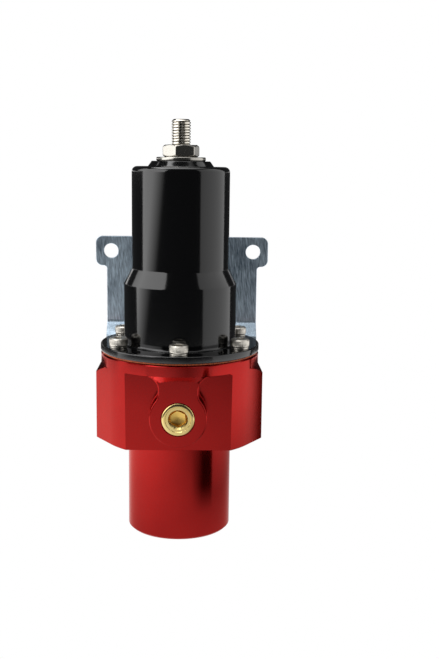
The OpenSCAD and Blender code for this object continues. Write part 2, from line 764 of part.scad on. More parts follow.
// Stands a piece against the outside of the bracket's tab at each tab screw, its axis along +Y
module at_tab_screws(y) {
    for (z = tab_screw_z) translate([0, y, z]) rotate([-90, 0, 0]) children();
}

module bracket_washers() {
    color(steel) at_tab_screws(back_d + sheet_t)
        ring(tab_head_r - thread_gap, tab_screw_r + thread_gap, tab_washer_t);
}

// Button head screws: domed head with a hex socket
module bracket_screws() {
    socket_af = 3;
    socket_depth = 1.4;
    dome_r = (pow(tab_head_r, 2) + pow(tab_head_h, 2)) / (2 * tab_head_h);
    shank_l = sheet_t + tab_washer_t + tab_screw_grip;
    color(steel) at_tab_screws(back_d + sheet_t + tab_washer_t) difference() {
        union() {
            translate([0, 0, -shank_l]) cylinder(r = tab_screw_r, h = shank_l + eps);
            rotate_extrude() intersection() {
                square([tab_head_r, tab_head_h]);
                translate([0, tab_head_h - dome_r]) circle(r = dome_r);
            }
        }
        translate([0, 0, tab_head_h]) hex_socket(socket_af, socket_depth);
    }
}

body();
valve_seat();
seat_o_ring();
gauge_plug();
valve_disc();
valve_stem();
diaphragm_lower_plate();
diaphragm();
lower_spring_cup();
diaphragm_nut();
bonnet();
lock_washers();
cover_screws();
main_spring();
upper_spring_seat();
adjusting_screw();
stud_o_ring();
seal_washer();
jam_nut();
bracket();
bracket_washers();
bracket_screws();
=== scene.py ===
# Fuel pressure regulator: a red body, a black spring bonnet and a zinc-plated bracket.
# The sections follow the regulator as it goes together on the bench, and then the studio around it.
import json
import math
import bmesh
import bpy
from mathutils import Matrix, Vector


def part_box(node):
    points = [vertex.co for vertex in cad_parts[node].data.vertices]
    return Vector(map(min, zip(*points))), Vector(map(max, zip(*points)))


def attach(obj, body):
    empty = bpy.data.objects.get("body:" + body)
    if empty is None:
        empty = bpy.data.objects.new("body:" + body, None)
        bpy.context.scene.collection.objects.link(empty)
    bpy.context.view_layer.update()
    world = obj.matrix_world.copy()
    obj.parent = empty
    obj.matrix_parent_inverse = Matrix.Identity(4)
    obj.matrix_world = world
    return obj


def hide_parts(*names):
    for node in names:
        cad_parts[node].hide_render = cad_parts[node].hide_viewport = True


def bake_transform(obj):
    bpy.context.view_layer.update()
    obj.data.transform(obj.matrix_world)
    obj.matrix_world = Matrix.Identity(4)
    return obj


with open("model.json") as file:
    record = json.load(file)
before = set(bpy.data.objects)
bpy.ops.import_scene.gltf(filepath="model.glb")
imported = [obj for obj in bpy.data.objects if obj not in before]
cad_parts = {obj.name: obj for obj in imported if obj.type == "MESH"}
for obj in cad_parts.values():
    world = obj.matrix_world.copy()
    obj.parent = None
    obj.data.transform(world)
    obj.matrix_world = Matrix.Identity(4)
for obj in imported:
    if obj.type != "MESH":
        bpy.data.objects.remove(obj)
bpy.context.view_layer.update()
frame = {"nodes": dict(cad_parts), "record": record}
cad = frame["nodes"]
mounts = {mount["name"]: mount for mount in frame["record"]["mounts"]}


# Body: turned and milled from one bar of aluminium, then dyed red in the anodising bath.
# It stands on its outlet neck and carries every other piece; the mill left round corners beside its bosses.
MM = 0.001
body_edge = 0.3 * MM
body_corner = math.radians(60)
boss_edge = 0.5 * MM
boss_face_depth = 0.6 * MM
plug_hole_margin = 1 * MM


def linear(hex_colour):
    """The linear colour, with alpha, of an sRGB hex value."""
    channels = [int(hex_colour[i:i + 2], 16) / 255 for i in (1, 3, 5)]
    return [c / 12.92 if c <= 0.04045 else ((c + 0.055) / 1.055) ** 2.4 for c in channels] + [1]


def add_node(tree, kind, inputs, into=None, **settings):
    """Adds a node with its settings, fills or links its inputs, and links its first output."""
    node = tree.nodes.new(kind)
    for name, value in settings.items():
        setattr(node, name, value)
    for name, value in inputs.items():
        if isinstance(value, bpy.types.NodeSocket):
            tree.links.new(value, node.inputs[name])
        else:
            node.inputs[name].default_value = value
    if into:
        tree.links.new(node.outputs[0], into)
    return node


def new_material(name, values):
    """A material with its shader's own sockets set, and what its patterns start from."""
    material = bpy.data.materials.new(name)
    material.use_nodes = True
    tree = material.node_tree
    shader = tree.nodes["Principled BSDF"]
    for socket, value in values.items():
        shader.inputs[socket].default_value = value
    place = add_node(tree, "ShaderNodeTexCoord", {}).outputs["Object"]
    return material, tree, shader, place


def make_piece(name, shape, material, sharp=math.radians(40)):
    """Turns a bmesh into an object: smooth, with a crease wherever two faces meet at more than sharp."""
    shape.normal_update()
    for face in shape.faces:
        face.smooth = True
    for edge in shape.edges:
        edge.smooth = edge.calc_face_angle(0) < sharp
    mesh = bpy.data.meshes.new(name)
    shape.to_mesh(mesh)
    shape.free()
    mesh.materials.append(material)
    piece = bpy.data.objects.new(name, mesh)
    bpy.context.scene.collection.objects.link(piece)
    return piece


def soften(shape, edges, offset):
    """Breaks some corners of a shape with a small round."""
    bmesh.ops.bevel(shape, geom=edges, offset=offset, offset_type="OFFSET", segments=3, profile=0.5,
                    affect="EDGES", clamp_overlap=False)


def soft_copy(node, name, material, edge, corner=math.radians(25), wide=None):
    """A copy of a CAD piece with its corners broken by a small round, and its flats still flat.
    Wide is for a piece with a second, wider round: which corners get it, and how far it reaches."""
    weld, flat = 0.03 * MM, math.radians(0.2)
    shape = bmesh.new()
    shape.from_mesh(cad[node].data)
    bmesh.ops.remove_doubles(shape, verts=shape.verts, dist=weld)
    bmesh.ops.dissolve_degenerate(shape, dist=weld, edges=shape.edges)
    bmesh.ops.dissolve_limit(shape, angle_limit=flat, verts=shape.verts, edges=shape.edges)
    corners = [e for e in shape.edges if e.calc_face_angle(0) > corner]
    if wide:
        chosen, reach = wide
        soften(shape, [e for e in corners if chosen(e)], reach)
        corners = [e for e in shape.edges if e.calc_face_angle(0) > corner]
    soften(shape, corners, edge)
    piece = make_piece(name, shape, material, sharp=math.radians(35))
    flats = piece.modifiers.new("flats stay flat", "WEIGHTED_NORMAL")
    flats.keep_sharp = True
    return piece


def fit(piece, body, slot, *stands_for):
    """Fixes a finished piece to its body, in place of the CAD nodes that it stands for."""
    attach(piece, body)
    if stands_for:
        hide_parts(*stands_for)


# Red anodised aluminium: the metal shines through the dye, under a clear hard skin that mirrors white.
# Milling and the bath leave it satin, with a faint cloudiness and a fine grain in the gloss.
red_cloud = 9 * MM
red_grain = 0.35 * MM
red, tree, shader, place = new_material("red anodised aluminium", {
    "Metallic": 1, "Specular Tint": linear("#FFC8C4"), "Coat Weight": 0.15, "Coat Roughness": 0.08,
    "Coat IOR": 1.6})
cloud = add_node(tree, "ShaderNodeTexNoise", {"Vector": place, "Scale": 1 / red_cloud, "Detail": 2})
dye = add_node(tree, "ShaderNodeMix", {0: cloud.outputs[0], 6: linear("#931210"), 7: linear("#9F1612")},
               data_type="RGBA")
tree.links.new(dye.outputs[2], shader.inputs["Base Color"])
grain = add_node(tree, "ShaderNodeTexNoise", {"Vector": place, "Scale": 1 / red_grain, "Detail": 3})
add_node(tree, "ShaderNodeMapRange", {"Value": grain.outputs[0], "To Min": 0.13, "To Max": 0.25},
         into=shader.inputs["Roughness"])
add_node(tree, "ShaderNodeBump", {"Height": grain.outputs[0], "Strength": 0.06, "Distance": 0.02 * MM},
         into=shader.inputs["Normal"])

plug_low, plug_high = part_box("gauge_plug")
plug_r = plug_high.x
plug_z = (plug_low.z + plug_high.z) / 2


def round_the_boss(edge):
    """Whether an edge is on the outline of the gauge boss's face, and not on the hole for its plug."""
    return all(v.co.y < plug_low.y + boss_face_depth
               and math.hypot(v.co.x, v.co.z - plug_z) > plug_r + plug_hole_margin for v in edge.verts)


body = soft_copy("body", "red_body", red, body_edge, body_corner, (round_the_boss, boss_edge))
fit(body, "housing", "red_anodised", "body")


# Port threads: tapped in the outlet under the neck and in the two inlets at the back.
# The bores are plain, so a thin sleeve with ridges lines each one.
INCH = 25.4 * MM
port_points = 96
port_rings = 10
sleeve_gap = 0.02 * MM
ridge_rise = 0.28


def ring(radius, z, count):
    """A ring of points round Z; radius is a number, or a function of the angle."""
    points = []
    for i in range(count):
        angle = 2 * math.pi * i / count
        r = radius(angle) if callable(radius) else radius
        points.append(Vector((r * math.cos(angle), r * math.sin(angle), z)))
    return points


def stack_rings(shape, rings, where=Matrix(), tube=False):
    """Skins a stack of rings of as many points each, in place; a tube's last ring meets its first."""
    rows = [[shape.verts.new(where @ point) for point in points] for points in rings]
    for low, high in zip(rows, rows[1:] + rows[:1] * tube):
        for i in range(len(low)):
            j = (i + 1) % len(low)
            shape.faces.new((low[i], low[j], high[j], high[i]))
    if not tube:
        shape.faces.new(reversed(rows[0]))
        shape.faces.new(rows[-1])


def groove(phase, crest=0.125, root=0.25):
    """Depth of a thread, from 0 on its crest to 1 at its root, along one pitch."""
    return min(max((abs(2 * (phase % 1) - 1) - crest) / (1 - crest - root), 0), 1)


def line_port(port, threads_per_inch, deep, mouth, material, slot):
    """Lines a port with its thread, between two depths along the port's axis from its mount's point."""
    mount = mounts[port]
    bore_r = mount["dims"]["r_mm"] * MM - sleeve_gap
    pitch = INCH / threads_per_inch
    rise = ridge_rise * pitch
    steps = round((mouth - deep) / pitch * port_rings)
    rings = [ring(bore_r, deep, port_points), ring(bore_r, mouth, port_points)]
    for i in range(steps, -1, -1):
        z = deep + (mouth - deep) * i / steps
        runout = min(1, i / port_rings, (steps - i) / port_rings) * rise + sleeve_gap
        rings.append(ring(lambda angle: bore_r - sleeve_gap - runout * (
            1 - groove(z / pitch - angle / (2 * math.pi))), z, port_points))
    turn = Vector((0, 0, 1)).rotation_difference(Vector(mount["axis"])).to_matrix().to_4x4()
    sleeve_shape = bmesh.new()
    stack_rings(sleeve_shape, rings, Matrix.Translation(mount["pos_m"]) @ turn, tube=True)
    sleeve = make_piece(port + "_thread", sleeve_shape, material, sharp=math.radians(20))
    fit(sleeve, "housing", slot)


for port, threads_per_inch, deep, mouth in (
        ("outlet", 12, -9.8 * MM, 7.2 * MM),
        ("inlet_right", 16, -7.3 * MM, 4 * MM),
        ("inlet_left", 16, -7.3 * MM, 4 * MM)):
    line_port(port, threads_per_inch, deep, mouth, red, "red_anodised")


# Valve seat: a brass stand-pipe that screws into the outlet bore from above, with an O-ring in its groove.
# The valve disc closes on its turned lip.
turned_edge = 0.1 * MM
# Turned brass: pale yellow where the tool cut it bright, a shade browner where it has dulled.
tarnish_patch = 4 * MM
brass_grain = 0.5 * MM
brass, tree, shader, place = new_material("turned brass", {"Metallic": 1})
tarnish = add_node(tree, "ShaderNodeTexNoise", {"Vector": place, "Scale": 1 / tarnish_patch, "Detail": 4})
tint = add_node(tree, "ShaderNodeMix", {0: tarnish.outputs[0], 6: linear("#EAD99C"), 7: linear("#D2B468")},
                data_type="RGBA")
tree.links.new(tint.outputs[2], shader.inputs["Base Color"])
grain = add_node(tree, "ShaderNodeTexNoise", {"Vector": place, "Scale": 1 / brass_grain, "Detail": 3})
add_node(tree, "ShaderNodeMapRange", {"Value": grain.outputs[0], "To Min": 0.12, "To Max": 0.24},
         into=shader.inputs["Roughness"])
seat = soft_copy("valve_seat", "brass_valve_seat", brass, turned_edge)
fit(seat, "housing", "yellow_brass", "valve_seat")

# Nitrile rubber: black, dull, with the fine grain of the mould. The valve disc and the O-ring round the
# adjusting screw are moulded from it too.
rubber_grain = 0.15 * MM
nitrile, tree, shader, place = new_material("nitrile rubber", {"Base Color": linear("#161617"), "IOR": 1.52})
grain = add_node(tree, "ShaderNodeTexNoise", {"Vector": place, "Scale": 1 / rubber_grain, "Detail": 3})
add_node(tree, "ShaderNodeMapRange", {"Value": grain.outputs[0], "To Min": 0.45, "To Max": 0.7},
         into=shader.inputs["Roughness"])
add_node(tree, "ShaderNodeBump", {"Height": grain.outputs[0], "Strength": 0.2, "Distance": 0.03 * MM},
         into=shader.inputs["Normal"])
for ring_name in ("seat_o_ring", "valve_disc", "stud_o_ring"):
    cad[ring_name].data.materials[0] = nitrile


# Gauge port plug: a brass pipe plug, screwed into the raised boss at the front with a hex key.
# Its outer edge is rolled over, its face is dished, and the mouth of its socket is countersunk.
plug_length = plug_high.y - plug_low.y
plug_chamfer = 0.3 * MM
plug_roll = 0.9 * MM
plug_proud = 0.5 * MM
plug_rim = 0.25 * MM
plug_step = 0.2 * MM
plug_dish = 0.25 * MM
plug_socket_af = 4.8 * MM
plug_socket_depth = 3.2 * MM
plug_mouth = 0.45 * MM
mouth_slope = math.tan(math.radians(50))
drill_r = 0.46 * plug_socket_af
drill_tip_r = 0.02 * plug_socket_af
drill_shoulder = 0.05 * MM
drill_cone = 0.5 * MM
plug_turn = math.radians(38)
plug_points = 96
roll_steps = 8
plug_crease = math.radians(30)


def hexagon(af):
    """Radius of a hexagon of that width across flats, as a function of the angle."""
    return lambda angle: af / 2 / math.cos((angle % (math.pi / 3)) - math.pi / 6)


plug_rings = [ring(plug_r - plug_chamfer, -plug_length, plug_points),
              ring(plug_r, -plug_length + plug_chamfer, plug_points)]
for i in range(roll_steps + 1):
    bend = math.pi / 2 * i / roll_steps
    plug_rings.append(ring(plug_r - plug_roll * (1 - math.cos(bend)),
                           -plug_proud * (1 - math.sin(bend)), plug_points))
socket_r = plug_socket_af / 2 / math.cos(math.pi / 6)
mouth_r = socket_r + plug_mouth
plug_rings += [ring(r, z, plug_points) for r, z in (
    (plug_r - plug_roll - plug_rim, 0),
    (plug_r - plug_roll - plug_rim - plug_step, -plug_dish),
    (mouth_r, -plug_dish))]
plug_rings.append([point + Vector((0, 0, (point.length - mouth_r) * mouth_slope - plug_dish))
                   for point in ring(hexagon(plug_socket_af), 0, plug_points)])
plug_rings += [ring(r, z, plug_points) for r, z in (
    (hexagon(plug_socket_af), -plug_socket_depth),
    (drill_r, -plug_socket_depth - drill_shoulder),
    (drill_tip_r, -plug_socket_depth - drill_shoulder - drill_cone))]
plug_shape = bmesh.new()
plug_place = Matrix.Translation((0, plug_low.y, plug_z))
stack_rings(plug_shape, plug_rings,
            plug_place @ Matrix.Rotation(math.pi / 2, 4, "X") @ Matrix.Rotation(plug_turn, 4, "Z"))
plug = make_piece("brass_gauge_plug", plug_shape, brass, sharp=plug_crease)
# Brass in the socket: rougher than the face, and painted a deeper, brighter gold in fine patches. This is
# painted light, standing for the warm light the brass walls bounce around inside the socket.
socket_patch = 0.6 * MM
socket_bounce_brass, tree, shader, place = new_material("socket brass with painted bounce light", {"Metallic": 1})
patches = add_node(tree, "ShaderNodeTexNoise", {"Vector": place, "Scale": 1 / socket_patch, "Detail": 3})
tint = add_node(tree, "ShaderNodeMix", {0: patches.outputs[0], 6: linear("#F4C666"), 7: linear("#FFDE82")},
                data_type="RGBA")
tree.links.new(tint.outputs[2], shader.inputs["Base Color"])
add_node(tree, "ShaderNodeMapRange", {"Value": patches.outputs[0], "To Min": 0.36, "To Max": 0.48},
         into=shader.inputs["Roughness"])
plug.data.materials.append(socket_bounce_brass)
# The faces down in the socket take the brass painted with bounce light.
for face in plug.data.polygons:
    into_plug = plug_place.inverted() @ face.center
    if into_plug.y > plug_dish + 2 * plug_mouth and math.hypot(into_plug.x, into_plug.z) < socket_r:
        face.material_index = 1
fit(plug, "housing", "yellow_brass", "gauge_plug")


# Valve, diaphragm plates and nut: stainless turnings that clamp the diaphragm and lift together.
# The stem goes up through the plates, and the nut on its top end holds them and the lower spring cup.
# Stainless steel: a warm grey metal, satin from the lathe, with fine marks in its gloss.
steel_marks = 0.12 * MM
stainless, tree, shader, place = new_material("stainless steel", {"Metallic": 1})
marks = add_node(tree, "ShaderNodeTexNoise", {"Vector": place, "Scale": 1 / steel_marks, "Detail": 3})
tint = add_node(tree, "ShaderNodeMix", {0: marks.outputs[0], 6: linear("#DDD8CE"), 7: linear("#CBC6BC")},
                data_type="RGBA")
tree.links.new(tint.outputs[2], shader.inputs["Base Color"])
add_node(tree, "ShaderNodeMapRange", {"Value": marks.outputs[0], "To Min": 0.29, "To Max": 0.42},
         into=shader.inputs["Roughness"])
for turned in ("valve_stem", "diaphragm_lower_plate", "lower_spring_cup", "diaphragm_nut"):
    piece = soft_copy(turned, "stainless_" + turned, stainless, turned_edge)
    fit(piece, "valve", "stainless", turned)


# Diaphragm: a disc punched from rubber-coated fabric, with a hole for the valve stem.
# It is clamped between body and bonnet, so only its rim shows.
# Rubberised cloth: rust-brown and dull, with the weave of the fabric pressed through.
cloth_thread = 0.5 * MM
cloth, tree, shader, place = new_material("rubberised cloth", {"Roughness": 0.7})
weave = add_node(tree, "ShaderNodeTexChecker", {"Vector": place, "Scale": 1 / cloth_thread,
                                                "Color1": linear("#B4541F"), "Color2": linear("#8E3F18")})
tree.links.new(weave.outputs["Color"], shader.inputs["Base Color"])
add_node(tree, "ShaderNodeBump", {"Height": weave.outputs["Fac"], "Strength": 0.3, "Distance": 0.05 * MM},
         into=shader.inputs["Normal"])
# Its rim stays with the body and its middle lifts with the valve.
# Here it is laid out in sectors, with rings between the edge of the plates and the mouth of the bonnet.
cloth_low, cloth_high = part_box("diaphragm")
flex_from = 14.1 * MM
flex_to = 16.4 * MM
stem_hole_r = 2.55 * MM
sectors = 12
sector_steps = 8
flex_rings = 5
half_sector = math.pi / sectors
cloth_radii = [stem_hole_r] + [flex_from + (flex_to - flex_from) * i / flex_rings
                               for i in range(flex_rings + 1)] + [cloth_high.x]
outline = [(r, cloth_low.z) for r in cloth_radii] + [(r, cloth_high.z) for r in reversed(cloth_radii)]
for k in range(sectors):
    middle = 2 * math.pi * k / sectors
    angles = [middle + half_sector * (2 * j / sector_steps - 1) for j in range(sector_steps + 1)]
    sector_shape = bmesh.new()
    rows = [[sector_shape.verts.new((r * math.cos(a), r * math.sin(a), z)) for a in angles]
            for r, z in outline]
    for row, after in zip(rows, rows[1:] + rows[:1]):
        for j in range(sector_steps):
            sector_shape.faces.new((row[j], row[j + 1], after[j + 1], after[j]))
    sector = make_piece(f"diaphragm_sector_{k + 1}", sector_shape, cloth)
    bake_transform(sector)
    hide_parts("diaphragm")


# Main spring: oil-tempered wire, coiled with a closed turn at each end.
# It stands in the lower cup, and the adjusting screw presses it down through the upper spring seat.
spring_low, spring_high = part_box("main_spring")
spring_middle = (spring_low.z + spring_high.z) / 2
wire_weld = 0.001 * MM
wire_crease = math.radians(60)
spring_seat_edge = 0.15 * MM
# Spring steel: dark blue-grey, with drawn streaks along the wire.
wire_streak = 1.2 * MM
spring_steel, tree, shader, place = new_material("oil-tempered spring steel", {"Metallic": 1})
streak = add_node(tree, "ShaderNodeTexNoise", {"Vector": place, "Scale": 1 / wire_streak, "Detail": 4})
tint = add_node(tree, "ShaderNodeMix", {0: streak.outputs[0], 6: linear("#5B5E64"), 7: linear("#7C8086")},
                data_type="RGBA")
tree.links.new(tint.outputs[2], shader.inputs["Base Color"])
add_node(tree, "ShaderNodeMapRange", {"Value": streak.outputs[0], "To Min": 0.28, "To Max": 0.5},
         into=shader.inputs["Roughness"])
# It is cut at its middle height into its lower and its upper coils.
for name, upward, a, b, start, end in (
        ("lower_spring_coils", 1, "valve", "housing", spring_low.z, spring_middle),
        ("upper_spring_coils", -1, "housing", "spring_seat", spring_middle, spring_high.z)):
    coils = bmesh.new()
    coils.from_mesh(cad["main_spring"].data)
    bmesh.ops.remove_doubles(coils, verts=coils.verts, dist=wire_weld)
    bmesh.ops.bisect_plane(coils, geom=coils.verts[:] + coils.edges[:] + coils.faces[:],
                           plane_co=(0, 0, spring_middle), plane_no=(0, 0, upward), clear_outer=True)
    bmesh.ops.holes_fill(coils, edges=[edge for edge in coils.edges if edge.is_boundary])
    half = make_piece(name, coils, spring_steel, sharp=wire_crease)
    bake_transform(half)
    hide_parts("main_spring")
spring_seat = soft_copy("upper_spring_seat", "stainless_spring_seat", stainless, spring_seat_edge)
fit(spring_seat, "spring_seat", "stainless", "upper_spring_seat")


# Bonnet: turned from aluminium bar and anodised black; its flange clamps the diaphragm on the body.
# Its chamber holds the spring, and the boost port at the back is tapped through its wall.
bonnet_edge = 0.15 * MM
# Black anodising: a deep black that mirrors the lights sharply, under a faint haze.
haze_grain = 0.4 * MM
black, tree, shader, place = new_material("black anodised aluminium", {
    "Base Color": linear("#070708"), "IOR": 1.62})
haze = add_node(tree, "ShaderNodeTexNoise", {"Vector": place, "Scale": 1 / haze_grain, "Detail": 3})
add_node(tree, "ShaderNodeMapRange", {"Value": haze.outputs[0], "To Min": 0.07, "To Max": 0.15},
         into=shader.inputs["Roughness"])
bonnet = soft_copy("bonnet", "black_bonnet", black, bonnet_edge)
fit(bonnet, "housing", "black_anodised", "bonnet")
line_port("boost_port", 27, -2.6 * MM, 2 * MM, black, "black_anodised")


# Lock washers: split spring washers coiled from flat stainless wire, one under each cover screw.
# The screw's head presses them flat on the flange.
lock_washer_edge = 0.06 * MM
washers = soft_copy("lock_washers", "stainless_lock_washers", stainless, lock_washer_edge)
fit(washers, "housing", "stainless", "lock_washers")


# Cover screws: six stainless socket screws that pull the bonnet down on the diaphragm.
# Each head is knurled round its side, chamfered on top, and has a hex socket.
head_r = 3.1 * MM
head_h = 2.7 * MM
head_chamfer = 0.4 * MM
head_foot = 0.45 * MM
head_foot_round = 0.13 * MM
shank_r = 1.7 * MM
shank_tip = 0.8
shank_tip_length = 0.3 * shank_r
knurl_teeth = 36
knurl_depth = 0.11 * MM
knurl_band = (0.5 * MM, 2.15 * MM)
screw_socket_af = 2.8 * MM
screw_socket_depth = 1.35 * MM
screw_socket_chamfer = 0.1 * MM
drill_point_r = 0.05 * MM
drill_point = 1 / 6
screw_crease = math.radians(28)
screw_count = 6
screw_low, screw_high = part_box("cover_screws")
screw_circle = -screw_low.y - head_r
head_z = screw_high.z - head_h


def knurled(angle):
    """Radius of the head in the middle of its knurl: a row of sharp straight teeth."""
    return head_r - knurl_depth * 2 * abs((angle * knurl_teeth / (2 * math.pi)) % 1 - 0.5)


screw_points = 4 * knurl_teeth
screw_rings = [ring(r, z, screw_points) for r, z in (
    (shank_r * shank_tip, screw_low.z),
    (shank_r, screw_low.z + shank_tip_length),
    (shank_r, head_z),
    (head_r - head_foot, head_z),
    (head_r - head_foot_round, head_z + head_foot_round),
    (head_r, head_z + knurl_band[0]),
    (knurled, head_z + knurl_band[0] + knurl_depth),
    (knurled, head_z + knurl_band[1] - knurl_depth),
    (head_r, head_z + knurl_band[1]),
    (head_r, screw_high.z - head_chamfer),
    (head_r - head_chamfer, screw_high.z),
    (hexagon(screw_socket_af + 2 * screw_socket_chamfer), screw_high.z),
    (hexagon(screw_socket_af), screw_high.z - screw_socket_chamfer),
    (hexagon(screw_socket_af), screw_high.z - screw_socket_depth),
    (drill_point_r, screw_high.z - screw_socket_depth - screw_socket_af * drill_point))]
screws_shape = bmesh.new()
for i in range(screw_count):
    turn = Matrix.Rotation(2 * math.pi * i / screw_count, 4, "Z")
    stack_rings(screws_shape, screw_rings, turn @ Matrix.Translation((0, -screw_circle, 0)))
screws = make_piece("knurled_cover_screws", screws_shape, stainless, sharp=screw_crease)
fit(screws, "housing", "stainless", "cover_screws")


# Adjusting screw: a bright steel set screw with a fine thread, turned with a hex key in its top end.
# It presses on the upper spring seat, so turning it in raises the fuel pressure.
thread_pitch = INCH / 28
thread_depth = 0.4 * MM
thread_crest = 0.45
thread_root = 0.1
thread_lead = 0.6 * MM
rings_per_pitch = 12
adjuster_points = 72
adjuster_socket_af = 3.2 * MM
adjuster_socket_depth = 4 * MM
adjuster_low, adjuster_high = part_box("adjusting_screw")
adjuster_r = adjuster_high.x
# Bright plated steel: a clear mirror that shows the lights as white bands, only lightly marked.
plate_marks = 0.3 * MM
bright_steel, tree, shader, place = new_material("bright plated steel", {"Metallic": 1})
marks = add_node(tree, "ShaderNodeTexNoise", {"Vector": place, "Scale": 1 / plate_marks, "Detail": 3})
tint = add_node(tree, "ShaderNodeMix", {0: marks.outputs[0], 6: linear("#BFBCB5"), 7: linear("#ADA9A1")},
                data_type="RGBA")
tree.links.new(tint.outputs[2], shader.inputs["Base Color"])
add_node(tree, "ShaderNodeMapRange", {"Value": marks.outputs[0], "To Min": 0.12, "To Max": 0.26},
         into=shader.inputs["Roughness"])
# Thread: painted shade, dark down in the roots of the thread and rising to a pale steel on the crests.
root_shade_top = 0.3 * thread_depth
painted_root_shade, tree, shader, place = new_material("oiled bright thread", {"Metallic": 1, "Roughness": 0.2})
from_axis = add_node(tree, "ShaderNodeVectorMath", {0: place, 1: (1, 1, 0)}, operation="MULTIPLY")
radius = add_node(tree, "ShaderNodeVectorMath", {0: from_axis.outputs[0]}, operation="LENGTH")
rise = add_node(tree, "ShaderNodeMapRange", {
    "Value": radius.outputs["Value"], "From Min": adjuster_r - thread_depth,
    "From Max": adjuster_r - root_shade_top})
tint = add_node(tree, "ShaderNodeMix", {0: rise.outputs[0], 6: linear("#5F5B55"), 7: linear("#F6F1E6")},
                data_type="RGBA")
tree.links.new(tint.outputs[2], shader.inputs["Base Color"])


def threaded(z):
    """Radius of the adjusting screw at that height, with its lead at both ends."""
    end = min(z - adjuster_low.z, adjuster_high.z - z)
    crest = adjuster_r - max(thread_lead - end, 0)

    def radius(angle):
        phase = z / thread_pitch - angle / (2 * math.pi)
        return min(crest, adjuster_r - thread_depth * groove(phase, thread_crest, thread_root))
    return radius


ring_count = round((adjuster_high.z - adjuster_low.z) / thread_pitch * rings_per_pitch)
adjuster_rings = [ring(drill_point_r, adjuster_low.z, adjuster_points)]
for i in range(ring_count + 1):
    z = adjuster_low.z + (adjuster_high.z - adjuster_low.z) * i / ring_count
    adjuster_rings.append(ring(threaded(z), z, adjuster_points))
socket_floor = adjuster_high.z - adjuster_socket_depth
adjuster_rings.append(ring(hexagon(adjuster_socket_af), adjuster_high.z, adjuster_points))
adjuster_rings.append(ring(hexagon(adjuster_socket_af), socket_floor, adjuster_points))
socket_point = socket_floor - adjuster_socket_af * drill_point
adjuster_rings.append(ring(drill_point_r, socket_point, adjuster_points))
adjuster_shape = bmesh.new()
stack_rings(adjuster_shape, adjuster_rings)
# The thread takes the steel painted with shade in its roots.
adjuster = make_piece("threaded_adjusting_screw", adjuster_shape, painted_root_shade)
fit(adjuster, "adjuster", "bright_steel", "adjusting_screw")


# Washer and jam nut: the washer is stamped from sheet and the nut cut from hexagon bar, both bright plated.
# The nut locks the adjusting screw and presses the washer down on the bonnet.
nut_edge = 0.35 * MM
nut_corner = math.radians(50)
washer = soft_copy("seal_washer", "plated_washer", bright_steel, nut_edge)
fit(washer, "washer", "bright_steel", "seal_washer")
nut = soft_copy("jam_nut", "plated_jam_nut", bright_steel, nut_edge, nut_corner)
fit(nut, "nut", "bright_steel", "jam_nut")


# Bracket: cut from steel sheet, folded twice to step back behind the body, and zinc plated.
# Its two ears carry the regulator on a wall of the engine bay.
sheet_edge = 0.18 * MM
# Zinc plate: a cool grey metal with a blue cast, over the upright grain of the rolled sheet, which spreads
# the light sideways. The grain is drawn coarser than the real one, so that it shows.
grain_w = 0.32 * MM
grain_l = 3.5 * MM
grain_lean = math.radians(5)
zinc_cloud = 9 * MM
cloud_share = 0.3
zinc, tree, shader, place = new_material("zinc-plated steel sheet", {"Metallic": 1, "Anisotropic": 0.7})
add_node(tree, "ShaderNodeTangent", {}, into=shader.inputs["Tangent"], direction_type="RADIAL", axis="Z")
lean = add_node(tree, "ShaderNodeMapping", {"Vector": place, "Rotation": (0, grain_lean, 0)})
stretch = add_node(tree, "ShaderNodeMapping", {
    "Vector": lean.outputs[0], "Scale": (1 / grain_w, 1 / grain_w, 1 / grain_l)})
streaks = add_node(tree, "ShaderNodeTexNoise", {
    "Vector": stretch.outputs[0], "Scale": 1, "Detail": 3, "Roughness": 0.65})
clouds = add_node(tree, "ShaderNodeTexNoise", {"Vector": place, "Scale": 1 / zinc_cloud, "Detail": 3})
both = add_node(tree, "ShaderNodeMix", {0: cloud_share, 2: streaks.outputs[0], 3: clouds.outputs[0]})
shade = add_node(tree, "ShaderNodeMapRange", {"Value": both.outputs[0], "From Min": 0.36, "From Max": 0.64})
tint = add_node(tree, "ShaderNodeMix", {0: shade.outputs[0], 6: linear("#8295A8"), 7: linear("#DFF1FE")},
                data_type="RGBA")
tree.links.new(tint.outputs[2], shader.inputs["Base Color"])
add_node(tree, "ShaderNodeMapRange", {"Value": shade.outputs[0], "To Min": 0.34, "To Max": 0.48},
         into=shader.inputs["Roughness"])
add_node(tree, "ShaderNodeBump", {"Height": streaks.outputs[0], "Strength": 0.35, "Distance": 0.05 * MM},
         into=shader.inputs["Normal"])
bracket = soft_copy("bracket", "zinc_bracket", zinc, sheet_edge)
fit(bracket, "housing", "zinc_plate", "bracket")


# Bracket screws: two stainless button head screws, each with a plain washer.
# They hold the bracket's tab on the back of the body.
tab_washers = soft_copy("bracket_washers", "stainless_tab_washers", stainless, turned_edge)
fit(tab_washers, "housing", "stainless", "bracket_washers")
tab_screws = soft_copy("bracket_screws", "stainless_tab_screws", stainless, turned_edge)
fit(tab_screws, "housing", "stainless", "bracket_screws")


# Table: a round sheet of white acrylic lit from below, out of the picture but mirrored in body and neck.
# It ends where the bonnet would mirror it.
table_r = 0.316
dim_x = 0.055
bright_away = 0.16
table_glow = (0.5, 1.55)
far_y = (-0.24, -0.17)
far_glow = 0.86
table_shape = bmesh.new()
bmesh.ops.create_circle(table_shape, cap_ends=True, radius=table_r, segments=96)
table_mesh = bpy.data.meshes.new("light_table")
table_shape.to_mesh(table_mesh)
table_shape.free()
table = bpy.data.objects.new("light_table", table_mesh)
bpy.context.scene.collection.objects.link(table)


